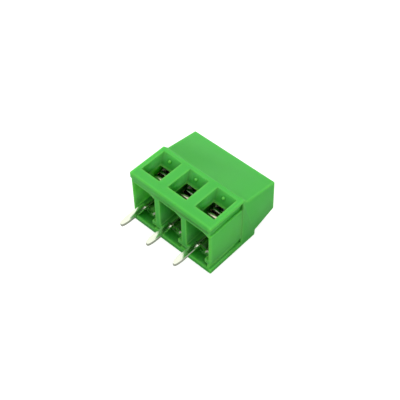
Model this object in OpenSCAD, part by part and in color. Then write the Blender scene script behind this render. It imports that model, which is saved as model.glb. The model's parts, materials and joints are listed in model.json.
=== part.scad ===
// Screw terminal for a printed circuit board, with rising clamp cages, drawn with the clamps screwed up.
// Frame: the origin lies on the board plane at the middle of the row of pins.
// +X runs along the row, +Y from the wire entries to the rear, +Z up from the board.
// Inside the modules, depths (y) are counted from the front plate; on_pins() brings them to the frame.

/* [Row of poles] */
// Distance from one pole to the next
pitch = 5.08; // [4.9:0.01:6.0]
// Number of poles in the row
poles = 3; // [2:1:5]

/* [Housing outline] */
// Overall height above the board, at the rear edge of the top
housing_h = 13.8; // [13.4:0.1:16]
// Overall depth from the front plate to the rear wall
housing_d = 10.1; // [10.0:0.05:11.5]
// How much lower the top is at its front edge
top_fall = 0.3; // [0:0.05:0.6]
// Height of the front plate, up to its ridge
plate_h = 6.8; // [6.6:0.1:7.4]
// How far the tall face stands back from the front plate
face_setback = 0.92; // [0.5:0.02:1.1]
// Rise of the slanted ledge between the plate and the tall face
ledge_rise = 0.84; // [0.4:0.02:1.2]
// How far the tall face leans back on its way to the top
face_lean = 0.91; // [0.4:0.01:1.1]
// Length of the top, from front to rear
top_len = 5.88; // [5.2:0.02:6.2]
// Depth of the ledge behind the sloping back
rear_ledge_d = 1.07; // [0.6:0.01:1.3]
// Height of that ledge above the board
rear_ledge_h = 9.7; // [8.6:0.1:10.6]
// Radius of the long outer edges
edge_r = 0.2; // [0.1:0.02:0.3]

/* [Housing walls] */
// Thickness of the front plate at the bottom
plate_t = 1.05; // [0.8:0.05:1.2]
// Thickness of the whole front wall, with the plate
front_wall = 1.9; // [1.7:0.05:2.1]
// Thickness of the rear wall
rear_wall = 1.0; // [0.85:0.05:1.2]
// Thickness of the divider between two pockets
divider_t = 1.0; // [0.8:0.05:1.1]
// How far the body stays above the board between the two plates
body_lift = 0.1; // [0.05:0.01:0.2]
// Thickness of the floor under the screw head
seat_t = 0.7; // [0.5:0.05:0.9]

/* [Wire funnels] */
// Width of a funnel at the front
funnel_w = 3.42; // [3.2:0.02:3.7]
// Width of a funnel where it meets the pocket
throat_w = 2.8; // [2.4:0.05:3.0]
// Height of the lower lip of a funnel at the front
funnel_bottom = 1.6; // [1.2:0.05:1.8]
// Height of a funnel at the front
funnel_h = 4.55; // [4.2:0.05:4.7]
// How much the lower lip rises inward
sill_rise = 0.4; // [0.2:0.05:0.6]
// How much the upper wall falls inward
brow_fall = 1.2; // [0.8:0.05:1.4]
// Radius of the round pip on the upper wall
pip_r = 0.28; // [0.2:0.02:0.34]
// Distance of the pip from the front plate
pip_y = 0.76; // [0.5:0.02:1.0]
// How far the pip lies to the left of the funnel's middle
pip_shift = 0.2; // [0:0.05:0.5]

/* [Pocket details] */
// How far a contact rib stands out from the side wall
rib_w = 0.69; // [0.6:0.01:0.75]
// Length of a contact rib, from front to rear
rib_len = 0.75; // [0.6:0.05:0.9]
// Width of the slanted web in the front corner of a pocket
web_w = 1.0; // [0.6:0.05:1.3]
// Length of that web, from front to rear
web_len = 0.45; // [0.3:0.05:0.6]
// Depth of the notch across the rear end of a divider
notch_depth = 0.45; // [0.3:0.05:0.7]
// Length of that notch, from front to rear
notch_len = 0.6; // [0.4:0.05:0.8]

/* [Row ends] */
// Depth of the grooves in the end wall at +X
groove_depth = 0.4; // [0.2:0.02:0.44]
// Height at which the grooves end
groove_h = 6.6; // [5.5:0.1:7.0]
// Distance from the front plate to the front groove, which reaches to the end of the front wall
front_groove_y = 0.58; // [0.5:0.02:0.9]
// Length of the rear groove, from front to rear
rear_groove_len = 1.0; // [0.6:0.05:1.1]
// How far the panel between the grooves lies back
panel_step = 0.08; // [0.04:0.01:0.12]
// How far the end wall at -X lies behind the end of the front plate
left_step = 0.14; // [0.04:0.01:0.16]

/* [Clamp screw] */
// Outer radius of the thread
screw_r = 1.25; // [1.15:0.01:1.28]
// Radius of the head
head_r = 1.9; // [1.8:0.02:2.0]
// Height of the head
head_h = 1.9; // [1.5:0.05:2.2]
// Width of the driver slot
slot_w = 0.7; // [0.5:0.05:0.9]
// Depth of the driver slot
slot_depth = 1.0; // [0.7:0.05:1.2]

/* [Clamp cage] */
// Thickness of the folded strip
cage_t = 0.5; // [0.44:0.02:0.52]
// Inner bend radius of its corners
cage_bend_r = 0.25; // [0.2:0.01:0.3]
// Distance from the front wall to the cage
cage_front_gap = 0.92; // [0.6:0.02:1.1]
// Distance from the cage to the contact ribs
cage_rear_gap = 0.73; // [0.4:0.01:0.9]
// Height of the cage's underside above the board when it is open
cage_z = 1.3; // [1.25:0.01:1.4]
// Space for the wire when the cage is open
wire_gap = 2.8; // [2.4:0.05:2.9]
// Space left under the tongue when the cage is closed
closed_gap = 0.55; // [0.4:0.05:0.8]
// Height of the gripping ridges on its floor
ridge_h = 0.15; // [0.08:0.01:0.2]

/* [Contact] */
// Thickness of the contact strip
contact_t = 0.5; // [0.4:0.02:0.54]
// Width of a solder pin
pin_w = 0.9; // [0.7:0.02:1.0]
// Length of a solder pin below the board plane
pin_len = 4.6; // [3.4:0.1:5.0]
// Length of its pointed end
point_len = 1.7; // [1.2:0.1:2.0]
// Width of the blunt tip
tip_w = 0.24; // [0.16:0.02:0.4]
// Distance from the front plate to the middle of the pins
pin_y = 5.4; // [5.2:0.02:5.6]
// Width of the upright leg behind the ribs
leg_w = 3.4; // [3.2:0.02:3.5]
// Gap between the leg and the rear wall
leg_gap = 0.3; // [0.2:0.05:0.4]
// Radius of its bends, at the middle of the strip
contact_bend_r = 0.5; // [0.4:0.02:0.6]
// Height of the first bend of the goose-neck above the board
neck_z = 0.15; // [0.1:0.01:0.2]
// Distance from the leg's middle to the knee of the goose-neck
knee_run = 1.2; // [1.0:0.05:1.4]

/* [Clearances] */
// Running clearance round the screw in the seat floor
seat_clear = 0.06; // [0.03:0.01:0.09]
// Running clearance round the screw in the cage
thread_clear = 0.04; // [0.02:0.01:0.06]
// Clearance round the head in its well
well_clear = 0.15; // [0.1:0.01:0.2]
// Clearance between a cage and its pocket
cage_clear = 0.18; // [0.12:0.01:0.22]
// Clearance at the faces of the contact strip
contact_clear = 0.1; // [0.06:0.01:0.12]
// Gap at the screw's tip and under its head
end_clear = 0.05; // [0.03:0.01:0.08]
// Gap between the two layers of the cage's roof
fold_clear = 0.02; // [0.01:0.01:0.04]

/* [Hidden] */
function pole_names(name) = [for (i = [1:poles]) str(name, i)];

$fn = 48;
// Steps in a rounded edge or bend
arc_steps = 5;
// Overlap of a cutter past the face it opens
over = 1;

// Row
row_w = poles * pitch;
function pole_x(i) = (i - (poles + 1) / 2) * pitch;

// Heights, from the board up
tongue_z = cage_z + cage_t + wire_gap;
screw_tip_z = tongue_z + contact_t + end_clear;
roof_z = tongue_z + contact_t + 2 * contact_clear;
roof_t = 2 * cage_t + fold_clear;
travel = wire_gap - closed_gap;
ceiling_z = roof_z + roof_t + travel + cage_clear;
seat_z = ceiling_z + seat_t;
head_z = seat_z + end_clear;
low_ceiling_z = tongue_z + contact_t + contact_bend_r;

// Widths across one pocket
pocket_w = pitch - divider_t;
cage_w = pocket_w - 2 * cage_clear;
tongue_w = cage_w - 2 * cage_t - 2 * contact_clear;
leg_slot_w = leg_w + 2 * contact_clear;
rib_gap_w = pocket_w - 2 * rib_w;

// Depths
pocket_rear_y = housing_d - rear_wall;
leg_y = pocket_rear_y - leg_gap - contact_t / 2;
leg_slot_y = leg_y - contact_t / 2 - contact_clear;
rib_y = leg_slot_y - rib_len;
cage_front_y = front_wall + cage_front_gap;
cage_len = rib_y - cage_rear_gap - cage_front_y;
screw_y = cage_front_y + cage_len / 2;
shaft_len = cage_len + 2 * cage_clear;

// Points of an arc of radius r that rounds the corner at p between a and b, moved o to the left of the way
function unit(v) = v / norm(v);
function left(v) = [-v.y, v.x];
function turned(v, a) = [v.x * cos(a) - v.y * sin(a), v.x * sin(a) + v.y * cos(a)];
function corner(a, p, b, r, o = 0) =
    let (d0 = unit(p - a), d1 = unit(b - p), bend = acos(min(1, d0 * d1)),
         hand = sign(d0.x * d1.y - d0.y * d1.x),
         centre = p - d0 * r * tan(bend / 2) + hand * r * left(d0))
    [for (k = [0:arc_steps]) centre + (o - hand * r) * turned(left(d0), hand * bend * k / arc_steps)];

// A closed outline with each corner rounded to its own radius
function rounded(points, radii) =
    let (n = len(points))
    [for (i = [0:n - 1])
        each radii[i] > 0
            ? corner(points[(i + n - 1) % n], points[i], points[(i + 1) % n], radii[i])
            : [points[i]]];

// One side of a bent strip, o to the left of its middle line
function strip_side(path, radii, o) =
    let (n = len(path), d0 = unit(path[1] - path[0]), d1 = unit(path[n - 1] - path[n - 2]))
    concat([path[0] + o * left(d0)],
           [for (i = [1:n - 2]) each corner(path[i - 1], path[i], path[i + 1], radii[i - 1], o)],
           [path[n - 1] + o * left(d1)]);
function reversed(points) = [for (i = [len(points) - 1:-1:0]) points[i]];
module strip(path, radii, t)
    polygon(concat(strip_side(path, radii, t / 2), reversed(strip_side(path, radii, -t / 2))));

// Moves what is drawn from the front plate into the frame, in which the pins stand at y = 0
module on_pins() translate([0, -pin_y, 0]) children();
// A profile drawn in (y, z), w wide along X and centred on x = 0
module along_x(w) translate([-w / 2, 0, 0]) rotate([90, 0, 90]) linear_extrude(w) children();
// A profile drawn in (x, z), from y0 to y1
module along_y(y0, y1) translate([0, y1, 0]) rotate([90, 0, 0]) linear_extrude(y1 - y0) children();
// A box centred on x = 0, from one (y, z) corner to the other
module block(w, low, high)
    translate([-w / 2, low.x, low.y]) cube([w, high.x - low.x, high.y - low.y]);

// ---- Housing ----

module housing_profile() {
    face_z = plate_h + ledge_rise;
    top_y = face_setback + face_lean;
    polygon(rounded(
        [[0, 0], [housing_d, 0], [housing_d, rear_ledge_h], [housing_d - rear_ledge_d, rear_ledge_h],
         [top_y + top_len, housing_h], [top_y, housing_h - top_fall], [face_setback, face_z], [0, plate_h]],
        [edge_r, edge_r, edge_r, 0, edge_r, edge_r, 0, edge_r]));
}

// Tapered wire entry, where a side taper and a height taper meet
module funnel() {
    slope = (funnel_w - throat_w) / 2 / front_wall;
    out_w = funnel_w / 2 + over * slope;
    sill = sill_rise / front_wall;
    brow = brow_fall / front_wall;
    intersection() {
        linear_extrude(plate_h + ledge_rise)
            polygon([[-out_w, -over], [out_w, -over], [throat_w / 2, front_wall], [throat_w / 2, front_wall + over],
                     [-throat_w / 2, front_wall + over], [-throat_w / 2, front_wall]]);
        along_x(pitch)
            polygon([[-over, funnel_bottom - over * sill], [front_wall, funnel_bottom + sill_rise],
                     [front_wall + over, funnel_bottom + sill_rise],
                     [front_wall + over, funnel_bottom + funnel_h - brow_fall],
                     [front_wall, funnel_bottom + funnel_h - brow_fall],
                     [-over, funnel_bottom + funnel_h + over * brow]]);
    }
}

// Round pip on the funnel's upper wall
module pip()
    translate([-pip_shift, pip_y, funnel_bottom + funnel_h - brow_fall * pip_y / front_wall])
        sphere(pip_r, $fn = 20);

// Everything one pole takes out of the housing
module pocket() {
    half = pocket_w / 2;
    // mouth, with the slanted web in its front corner on the +X side
    translate([0, 0, -over]) linear_extrude(low_ceiling_z + over)
        polygon([[-half, front_wall], [half - web_w, front_wall], [half, front_wall + web_len],
                 [half, rib_y], [rib_gap_w / 2, rib_y], [rib_gap_w / 2, leg_y], [-rib_gap_w / 2, leg_y],
                 [-rib_gap_w / 2, rib_y], [-half, rib_y]]);
    // slot behind the ribs for the contact's leg
    block(leg_slot_w, [leg_slot_y, -over], [pocket_rear_y, low_ceiling_z]);
    // shaft in which the cage rises
    block(pocket_w, [screw_y - shaft_len / 2, low_ceiling_z - over], [screw_y + shaft_len / 2, ceiling_z]);
    // screw hole and the well of the head
    translate([0, screw_y, ceiling_z - over]) cylinder(h = seat_t + 2 * over, r = screw_r + seat_clear);
    translate([0, screw_y, seat_z]) cylinder(h = housing_h, r = head_r + well_clear);
    funnel();
}

// Grooves and sunk panel in the end wall at +X
module end_grooves() {
    rear_groove_y = leg_slot_y;
    translate([row_w / 2, 0, 0]) {
        block(2 * groove_depth, [front_groove_y, -over], [front_wall, groove_h]);
        block(2 * groove_depth, [rear_groove_y, -over], [rear_groove_y + rear_groove_len, groove_h]);
        block(2 * panel_step, [front_groove_y, -over], [rear_groove_y, groove_h]);
    }
}

// Sunk panel in the end wall at -X
module left_panel()
    translate([-row_w / 2, 0, 0]) block(2 * left_step, [plate_t, -over], [pocket_rear_y, groove_h]);

module housing() {
    color([0.33, 0.77, 0.33]) on_pins() {
        difference() {
            along_x(row_w) housing_profile();
            for (i = [1:poles]) translate([pole_x(i), 0, 0]) pocket();
            end_grooves();
            left_panel();
            // the body stays off the board between the two plates
            block(row_w + over, [plate_t, -over], [pocket_rear_y, body_lift]);
            // notches across the rear ends of the dividers
            for (i = [1:poles - 1]) translate([pole_x(i) + pitch / 2, 0, 0])
                block(pitch - leg_slot_w + over, [leg_slot_y, -over], [leg_slot_y + notch_len, notch_depth]);
        }
        for (i = [1:poles]) translate([pole_x(i), 0, 0]) pip();
    }
}

// ---- One pole's metal parts ----

// Slotted screw: its tip stands just over the tongue, its head just over the seat
module clamp_screw(i) {
    chamfer = 0.2;
    tip_chamfer = 0.35;
    shank_len = head_z - screw_tip_z;
    color([0.80, 0.80, 0.78]) on_pins() translate([pole_x(i), screw_y, screw_tip_z]) difference() {
        rotate_extrude() polygon([[0, 0], [screw_r - tip_chamfer, 0], [screw_r, tip_chamfer], [screw_r, shank_len],
                                  [head_r, shank_len], [head_r, shank_len + head_h - chamfer],
                                  [head_r - chamfer, shank_len + head_h], [0, shank_len + head_h]]);
        translate([-head_r - over, -slot_w / 2, shank_len + head_h - slot_depth])
            cube([2 * (head_r + over), slot_w, slot_depth + over]);
    }
}

// Strip folded into a closed box, raised by the screw: the roof is two layers thick, for the thread
module clamp_cage(i) {
    side_x = (cage_w - cage_t) / 2;
    floor_z = cage_z + cage_t / 2;
    inner_roof_z = roof_z + cage_t / 2;
    outer_roof_z = inner_roof_z + cage_t + fold_clear;
    r = cage_bend_r + cage_t / 2;
    seam = cage_w / 2 - cage_t - cage_bend_r - fold_clear;
    ridges = 4;
    ridge_step = cage_len / (ridges + 1);
    color([0.76, 0.77, 0.78]) on_pins() translate([pole_x(i), 0, travel]) {
        difference() {
            along_y(cage_front_y, cage_front_y + cage_len)
                strip([[seam, inner_roof_z], [-side_x, inner_roof_z], [-side_x, floor_z], [side_x, floor_z],
                       [side_x, outer_roof_z], [-side_x, outer_roof_z]],
                      [r, r, r, r], cage_t);
            translate([0, screw_y, roof_z - cage_t / 2]) cylinder(h = 2 * roof_t, r = screw_r + thread_clear);
        }
        // gripping ridges across the floor
        for (k = [1:ridges]) translate([0, cage_front_y + k * ridge_step, cage_z + cage_t])
            along_x(cage_w - 2 * cage_t - 2 * cage_bend_r)
                polygon([[-ridge_h, -ridge_h / 2], [ridge_h, -ridge_h / 2], [0, ridge_h]]);
    }
}

// Half of the contact's outline seen from the front, from the pin's tip to the top
function contact_half_outline() =
    let (shoulder_z = cage_z - contact_t / 2, leg_z = cage_z + contact_bend_r, top_z = tongue_z + contact_t + over)
    concat([for (k = [0:arc_steps])
                [tip_w / 2 + (pin_w - tip_w) / 2 * sin(90 * k / arc_steps),
                 -pin_len + point_len * (1 - cos(90 * k / arc_steps))]],
           [[pin_w / 2, shoulder_z], [tongue_w / 2, shoulder_z + contact_t / 2], [tongue_w / 2, leg_z],
            [leg_w / 2, leg_z + contact_t], [leg_w / 2, tongue_z - contact_t], [tongue_w / 2, tongue_z - contact_t / 2],
            [tongue_w / 2, top_z]]);

// One bent strip: tongue in the cage, leg behind the ribs, goose-neck under the cage, and pin
module solder_contact(i) {
    half = contact_half_outline();
    tongue_mid_z = tongue_z + contact_t / 2;
    knee = [leg_y - knee_run, cage_z - contact_t / 2];
    path = [[pin_y, -pin_len], [pin_y, neck_z], knee, [leg_y, cage_z + contact_clear / 2],
            [leg_y, tongue_mid_z], [cage_front_y, tongue_mid_z]];
    r = contact_bend_r;
    color([0.82, 0.83, 0.84]) on_pins() translate([pole_x(i), 0, 0]) intersection() {
        along_x(leg_w + over) strip(path, [r, 2 * r, r, r], contact_t);
        along_y(0, housing_d)
            polygon(concat(half, reversed([for (p = half) [-p.x, p.y]])));
    }
}

housing();
for (i = [1:poles]) {
    clamp_screw(i);
    clamp_cage(i);
    solder_contact(i);
}
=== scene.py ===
"""Looks of the screw terminal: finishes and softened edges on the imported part, in a small studio.

Everything is in metres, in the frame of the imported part: +X along the row, +Z up from the board.
"""

import json
import math

import bmesh
import bpy
from mathutils import Matrix, Vector


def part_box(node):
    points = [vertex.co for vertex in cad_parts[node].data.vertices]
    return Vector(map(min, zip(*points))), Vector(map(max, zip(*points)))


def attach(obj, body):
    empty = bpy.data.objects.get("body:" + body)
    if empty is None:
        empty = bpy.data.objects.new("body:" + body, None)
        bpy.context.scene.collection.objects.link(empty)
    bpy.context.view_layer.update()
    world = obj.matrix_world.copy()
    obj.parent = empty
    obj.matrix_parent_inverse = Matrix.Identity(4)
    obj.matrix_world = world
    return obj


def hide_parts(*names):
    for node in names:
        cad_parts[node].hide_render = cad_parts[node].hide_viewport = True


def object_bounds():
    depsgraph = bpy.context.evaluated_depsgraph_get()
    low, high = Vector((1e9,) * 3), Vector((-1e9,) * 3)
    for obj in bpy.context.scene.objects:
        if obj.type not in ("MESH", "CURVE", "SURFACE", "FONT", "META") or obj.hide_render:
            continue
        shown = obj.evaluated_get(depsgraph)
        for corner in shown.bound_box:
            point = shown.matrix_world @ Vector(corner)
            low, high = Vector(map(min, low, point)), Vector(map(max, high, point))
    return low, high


MM = 0.001

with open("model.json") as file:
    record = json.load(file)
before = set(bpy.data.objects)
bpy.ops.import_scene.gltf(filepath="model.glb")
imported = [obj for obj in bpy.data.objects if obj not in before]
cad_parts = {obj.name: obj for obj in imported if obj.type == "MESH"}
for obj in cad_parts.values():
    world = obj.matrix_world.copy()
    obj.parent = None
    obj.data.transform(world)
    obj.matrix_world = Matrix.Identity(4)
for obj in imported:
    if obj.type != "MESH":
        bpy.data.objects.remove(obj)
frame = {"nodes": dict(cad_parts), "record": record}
cad_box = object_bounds()
screws = sorted(n for n in frame["nodes"] if n.startswith("clamp_screw"))
cages = sorted(n for n in frame["nodes"] if n.startswith("clamp_cage"))
contacts = sorted(n for n in frame["nodes"] if n.startswith("solder_contact"))


# ---- Node helpers ----

OPENNESS_SAMPLES = 12


def new_material(name):
    """A material with its node tree and its Principled shader"""
    material = bpy.data.materials.new(name)
    material.use_nodes = True
    tree = material.node_tree
    return material, tree, tree.nodes["Principled BSDF"]


def noise(tree, scale, detail=3.0, roughness=0.5, stretch=(1, 1, 1)):
    """Noise in the piece's own space, scale in cycles a metre, squeezed along an axis by stretch"""
    place = tree.nodes.new("ShaderNodeTexCoord")
    mapping = tree.nodes.new("ShaderNodeMapping")
    mapping.inputs["Scale"].default_value = stretch
    node = tree.nodes.new("ShaderNodeTexNoise")
    node.inputs["Scale"].default_value = scale
    node.inputs["Detail"].default_value = detail
    node.inputs["Roughness"].default_value = roughness
    tree.links.new(place.outputs["Object"], mapping.inputs["Vector"])
    tree.links.new(mapping.outputs["Vector"], node.inputs["Vector"])
    return node.outputs["Fac"]


def spread(tree, factor, low, high):
    """Brings a 0 to 1 factor into the range from low to high"""
    node = tree.nodes.new("ShaderNodeMapRange")
    node.inputs["To Min"].default_value = low
    node.inputs["To Max"].default_value = high
    tree.links.new(factor, node.inputs["Value"])
    return node.outputs["Result"]


def blend_colours(tree, factor, colour_a, colour_b):
    """A colour that goes from one to another with a factor; either may be a node's output"""
    node = tree.nodes.new("ShaderNodeMix")
    node.data_type = "RGBA"
    for name, colour in (("A", colour_a), ("B", colour_b)):
        if isinstance(colour, tuple):
            node.inputs[name].default_value = (*colour, 1)
        else:
            tree.links.new(colour, node.inputs[name])
    tree.links.new(factor, node.inputs["Factor"])
    return node.outputs["Result"]


def openness(tree, reach, inside=False):
    """1 on open faces, less in recesses within reach, or with inside at edges and thin walls"""
    node = tree.nodes.new("ShaderNodeAmbientOcclusion")
    node.samples = OPENNESS_SAMPLES
    node.inside = inside
    node.inputs["Distance"].default_value = reach
    return node.outputs["AO"]


def add_bump(tree, shader, height, distance, strength):
    """Adds a bump of the given depth in metres to the shader"""
    node = tree.nodes.new("ShaderNodeBump")
    node.inputs["Distance"].default_value = distance
    node.inputs["Strength"].default_value = strength
    tree.links.new(height, node.inputs["Height"])
    tree.links.new(node.outputs["Normal"], shader.inputs["Normal"])


# ---- Materials ----

def moulded_nylon():
    """Green moulded nylon: satin, a little translucent, with a fine spark-eroded grain

    Painted shade darkens pockets, grooves and faces near the table; painted light brightens edges
    and thin walls.
    """
    material, tree, shader = new_material("moulded_nylon")
    clouds = noise(tree, scale=260, detail=2)
    grain = noise(tree, scale=9000, detail=4, roughness=0.6)
    # masks for painted shade: in recesses and near other pieces within 6 mm, and in creases within
    # 0.9 mm
    painted_recess_shade_mask, shallow = openness(tree, reach=6 * MM), openness(tree, reach=0.9 * MM)
    # mask for a painted highlight and glow along outer edges and thin walls
    painted_edge_light_mask = openness(tree, reach=0.45 * MM, inside=True)
    colour = blend_colours(tree, clouds, (0.060, 0.530, 0.058), (0.074, 0.565, 0.070))
    # painted shade: darker where the part itself, the table or other pieces stand within 6 mm
    colour = blend_colours(tree, painted_recess_shade_mask, (0.002, 0.165, 0.001), colour)
    # painted shade: darker still in creases and grooves within 0.9 mm
    colour = blend_colours(tree, shallow, (0.010, 0.260, 0.008), colour)
    # painted highlight and glow: lighter yellow-green along outer edges and thin walls
    colour = blend_colours(tree, painted_edge_light_mask, (0.190, 0.740, 0.110), colour)
    tree.links.new(colour, shader.inputs["Base Color"])
    tree.links.new(spread(tree, grain, 0.34, 0.48), shader.inputs["Roughness"])
    shader.inputs["IOR"].default_value = 1.53
    shader.inputs["Specular IOR Level"].default_value = 0.3
    shader.subsurface_method = "RANDOM_WALK"
    shader.inputs["Subsurface Weight"].default_value = 0.45
    shader.inputs["Subsurface Radius"].default_value = (0.55, 1.0, 0.12)
    shader.inputs["Subsurface Scale"].default_value = 1.8 * MM
    add_bump(tree, shader, grain, distance=0.004 * MM, strength=0.5)
    return material


def plated_metal(name, colour, shade, rough, grain_stretch, grain_depth):
    """Plated strip metal with rolling marks along the strip and slightly uneven gloss"""
    material, tree, shader = new_material(name)
    marks = noise(tree, scale=2500, detail=5, roughness=0.65, stretch=grain_stretch)
    patches = noise(tree, scale=900, detail=3)
    tree.links.new(blend_colours(tree, patches, colour, shade), shader.inputs["Base Color"])
    tree.links.new(spread(tree, patches, *rough), shader.inputs["Roughness"])
    shader.inputs["Metallic"].default_value = 1.0
    add_bump(tree, shader, marks, distance=grain_depth, strength=0.6)
    return material


NYLON = moulded_nylon()
TIN = plated_metal("bright_tin", (0.79, 0.82, 0.69), (0.70, 0.74, 0.60),
                   rough=(0.10, 0.22), grain_stretch=(1, 1, 0.12), grain_depth=0.004 * MM)
NICKEL = plated_metal("nickel_strip", (0.58, 0.57, 0.42), (0.45, 0.45, 0.31),
                      rough=(0.08, 0.18), grain_stretch=(1, 0.12, 1), grain_depth=0.005 * MM)
STEEL = plated_metal("zinc_steel", (0.72, 0.73, 0.74), (0.60, 0.61, 0.62),
                     rough=(0.24, 0.40), grain_stretch=(1, 1, 1), grain_depth=0.004 * MM)


# ---- Pieces ----

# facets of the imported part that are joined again
SAME_PLACE = 0.0005 * MM
SAME_PLANE = math.radians(0.5)

# softened edges
SHARP = math.radians(32)
END_ZONE = 0.16 * MM  # at the ends of the row, edges get their full width
ROOM_SHARE = 0.4  # of the shallower face behind an edge, its softening takes this much at most
BEVEL_SEGMENTS = 3
HOUSING_EDGE = 0.18 * MM
HOUSING_FINE_SHARE = 0.4
CONTACT_EDGE = 0.03 * MM
CAGE_EDGE = 0.04 * MM
SCREW_EDGE = 0.06 * MM

# the screws' thread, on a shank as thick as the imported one
HEAD_H = 1.9 * MM
NECK_CUT = 0.01 * MM  # the plain shank is cut off this far above the head's underside
SHANK_OVERLAP = 0.1 * MM  # the threaded shank reaches this far into the head
CUT_TOLERANCE = 1e-8
THREAD_R = 1.25 * MM
THREAD_PITCH = 0.45 * MM
THREAD_DEPTH = 0.27 * MM
THREAD_STEPS = 8  # rings to a turn
THREAD_SIDES = 32
TIP_CHAMFER = 0.35 * MM

body_of = {n: b for b, members in frame["record"]["behaviour"]["bodies"].items() for n in members}


def clean_mesh(node):
    """A bmesh of a CAD node with its facets joined into whole faces"""
    mesh = bmesh.new()
    mesh.from_mesh(frame["nodes"][node].data)
    bmesh.ops.remove_doubles(mesh, verts=mesh.verts, dist=SAME_PLACE)
    bmesh.ops.dissolve_limit(mesh, angle_limit=SAME_PLANE, verts=mesh.verts, edges=mesh.edges)
    return mesh


def depth_behind(edge, face):
    """How far a face reaches away from one of its edges"""
    start = edge.verts[0].co
    along = (edge.verts[1].co - start).normalized()
    return max((vert.co - start).cross(along).length for vert in face.verts)


def mark_sharp_edges(mesh, width, fine_share):
    """Gives each outer edge sharper than SHARP a bevel weight, less where a face behind is shallow

    Edges at the two ends of the row get the full width, the others fine_share of it. Inner edges
    stay crisp.
    """
    weights = mesh.edges.layers.float.new("bevel_weight_edge")
    for edge in mesh.edges:
        if len(edge.link_faces) != 2:
            continue
        angle = edge.calc_face_angle_signed()
        if angle > SHARP:
            room = min(depth_behind(edge, face) for face in edge.link_faces)
            at_end = min(abs(vert.co.x) for vert in edge.verts) > cad_box[1].x - END_ZONE
            edge[weights] = min(1.0 if at_end else fine_share, ROOM_SHARE * room / width)
        elif angle < -SHARP:
            edge.smooth = False


def softened(node, name, width, material, fine_share=1.0, finish=None):
    """A copy of a CAD node with its sharp outer edges rounded, which stands for the node

    finish(mesh, node) may add detail before the copy is made.
    """
    mesh = clean_mesh(node)
    mark_sharp_edges(mesh, width, fine_share)
    if finish:
        finish(mesh, node)
    data = bpy.data.meshes.new(name)
    mesh.to_mesh(data)
    mesh.free()
    data.materials.append(material)
    data.shade_smooth()
    piece = bpy.data.objects.new(name, data)
    bpy.context.scene.collection.objects.link(piece)
    bevel = piece.modifiers.new("edges", "BEVEL")
    bevel.limit_method = "WEIGHT"
    bevel.width = width
    bevel.segments = BEVEL_SEGMENTS
    bevel.use_clamp_overlap = False
    bevel.harden_normals = True
    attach(piece, body_of[node])
    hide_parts(node)
    return piece


def add_thread(mesh, centre, low_z, high_z):
    """Adds a shank with a helical thread to a mesh, closed at both ends"""
    count = round((high_z - low_z) / THREAD_PITCH * THREAD_STEPS)
    rings = []
    for k in range(count + 1):
        rise = (high_z - low_z) * k / count
        ring = []
        for j in range(THREAD_SIDES):
            turn = j / THREAD_SIDES
            crest = 1 - abs(2 * ((rise / THREAD_PITCH - turn) % 1.0) - 1)
            depth = max(THREAD_DEPTH * (1 - crest), TIP_CHAMFER - rise)
            angle = math.tau * turn
            out = Vector((math.cos(angle), math.sin(angle), 0)) * (THREAD_R - depth)
            ring.append(mesh.verts.new(Vector((centre.x, centre.y, low_z + rise)) + out))
        rings.append(ring)
    for lower, upper in zip(rings, rings[1:]):
        for j in range(THREAD_SIDES):
            n = (j + 1) % THREAD_SIDES
            mesh.faces.new((lower[j], lower[n], upper[n], upper[j]))
    mesh.faces.new(rings[0][::-1])
    mesh.faces.new(rings[-1])


def threaded(mesh, node):
    """Cuts the plain shank off a screw's mesh and puts a threaded one in its place"""
    low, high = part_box(node)
    neck_z = high.z - HEAD_H
    parts = mesh.verts[:] + mesh.edges[:] + mesh.faces[:]
    bmesh.ops.bisect_plane(mesh, geom=parts, dist=CUT_TOLERANCE, plane_co=(0, 0, neck_z + NECK_CUT),
                           plane_no=(0, 0, 1), clear_inner=True)
    rim = [edge for edge in mesh.edges if edge.is_boundary]
    bmesh.ops.contextual_create(mesh, geom=rim)
    add_thread(mesh, (low + high) / 2, low.z, neck_z + SHANK_OVERLAP)


housing = softened("housing", "housing_shell", HOUSING_EDGE, NYLON, fine_share=HOUSING_FINE_SHARE)
for node in contacts:
    softened(node, node + "_strip", CONTACT_EDGE, TIN)
for node in cages:
    softened(node, node + "_strip", CAGE_EDGE, NICKEL)
for node in screws:
    softened(node, node + "_steel", SCREW_EDGE, STEEL, finish=threaded)


# ---- Studio ----

WORLD_FILL = 0.8
TABLE_ALBEDO = 0.5
TABLE_GLOW = 0.75  # with the lamps' light on it, this shows the table just white
TABLE_HALF = 150 * MM
TABLE_OVERLAP = 0.1 * MM  # the table reaches this far under the edge of the rear wall
REAR_WALL_TOP = 9.7 * MM


def aim(obj, target):
    """Turns a lamp or camera at obj's place so that it looks at the target"""
    obj.rotation_euler = (target - obj.location).to_track_quat("-Z", "Y").to_euler()


def softbox(name, place, target, size, power, colour=(1, 1, 1)):
    """A square area lamp, with its power in watts"""
    lamp = bpy.data.lights.new(name, "AREA")
    lamp.size = size
    lamp.energy = power
    lamp.color = colour
    obj = bpy.data.objects.new(name, lamp)
    bpy.context.scene.collection.objects.link(obj)
    obj.location = place
    aim(obj, target)


def white_world():
    """A white surround for the camera, reflections and glass, and a plain fill of light"""
    world = bpy.data.worlds.new("studio")
    bpy.context.scene.world = world
    world.use_nodes = True
    tree = world.node_tree
    background = tree.nodes["Background"]
    path = tree.nodes.new("ShaderNodeLightPath")
    seen = tree.nodes.new("ShaderNodeMath")
    seen.operation = "MAXIMUM"
    shown = tree.nodes.new("ShaderNodeMath")
    shown.operation = "MAXIMUM"
    tree.links.new(path.outputs["Is Camera Ray"], seen.inputs[0])
    tree.links.new(path.outputs["Is Glossy Ray"], seen.inputs[1])
    tree.links.new(seen.outputs[0], shown.inputs[0])
    tree.links.new(path.outputs["Is Transmission Ray"], shown.inputs[1])
    background.inputs["Color"].default_value = (1, 1, 1, 1)
    tree.links.new(spread(tree, shown.outputs[0], WORLD_FILL, 1.0), background.inputs["Strength"])


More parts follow.
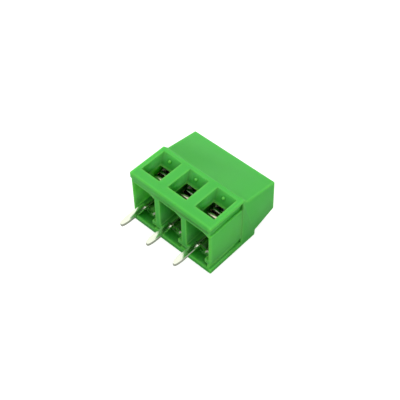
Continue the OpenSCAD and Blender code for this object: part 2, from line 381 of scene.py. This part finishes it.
def table_material():
    """A white table top that keeps a faint shadow, and is clear from behind"""
    material, tree, shader = new_material("white_table")
    shader.inputs["Base Color"].default_value = (TABLE_ALBEDO, TABLE_ALBEDO, TABLE_ALBEDO, 1)
    shader.inputs["Roughness"].default_value = 0.9
    shader.inputs["Specular IOR Level"].default_value = 0.1
    shader.inputs["Emission Color"].default_value = (1, 1, 1, 1)
    path = tree.nodes.new("ShaderNodeLightPath")
    glow = spread(tree, path.outputs["Is Camera Ray"], 0.0, TABLE_GLOW)
    tree.links.new(glow, shader.inputs["Emission Strength"])
    side = tree.nodes.new("ShaderNodeNewGeometry")
    clear = tree.nodes.new("ShaderNodeBsdfTransparent")
    mix = tree.nodes.new("ShaderNodeMixShader")
    tree.links.new(side.outputs["Backfacing"], mix.inputs["Fac"])
    tree.links.new(shader.outputs["BSDF"], mix.inputs[1])
    tree.links.new(clear.outputs["BSDF"], mix.inputs[2])
    tree.links.new(mix.outputs["Shader"], tree.nodes["Material Output"].inputs["Surface"])
    return material


low, high = cad_box
middle = (low + high) / 2

# the part lies on its rear wall, so the table stands upright behind it in this frame; it has a hole
# under that wall, so that the wall is lit in a view from behind
corners = [(-1, 1), (1, 1), (1, -1), (-1, -1)]
hole_x = high.x - TABLE_OVERLAP
hole_z = {1: REAR_WALL_TOP - TABLE_OVERLAP, -1: TABLE_OVERLAP}
outline = [(x * TABLE_HALF, high.y, z * TABLE_HALF) for x, z in corners]
hole = [(x * hole_x, high.y, hole_z[z]) for x, z in corners]
table_data = bpy.data.meshes.new("table")
table_data.from_pydata(outline + hole, [], [(4, 5, 1, 0), (5, 6, 2, 1), (6, 7, 3, 2), (7, 4, 0, 3)])
table_data.materials.append(table_material())
table = bpy.data.objects.new("table", table_data)
bpy.context.scene.collection.objects.link(table)

white_world()
softbox("key", middle + Vector((-60, -150, 40)) * MM, middle, 180 * MM, 0.03)
softbox("front", middle + Vector((100, -110, -70)) * MM, middle, 160 * MM, 0.04)
softbox("left", middle + Vector((-90, -2, 0)) * MM, middle, 20 * MM, 0.035,
        colour=(1.0, 0.92, 0.55))


# ---- Camera ----

# the camera looks up at the front and right end of the part, rolled so that the rear wall is down
LENS_MM = 72.4
SENSOR_MM = 36
HEADING = math.radians(30.15)
PITCH = math.radians(28.41)
ROLL = math.radians(50.23)
CAMERA_PLACE = Vector((50.97, -87.76, -48.69)) * MM

camera_data = bpy.data.cameras.new("camera")
camera_data.lens = LENS_MM
camera_data.sensor_width = SENSOR_MM
camera_data.clip_start = 1 * MM
camera = bpy.data.objects.new("camera", camera_data)
bpy.context.scene.collection.objects.link(camera)
camera.location = CAMERA_PLACE
upright = Matrix.Rotation(HEADING, 4, "Z") @ Matrix.Rotation(math.pi / 2 + PITCH, 4, "X")
camera.rotation_euler = (upright @ Matrix.Rotation(ROLL, 4, "Z")).to_euler()
bpy.context.scene.camera = camera

bpy.context.scene.view_settings.view_transform = "Standard"
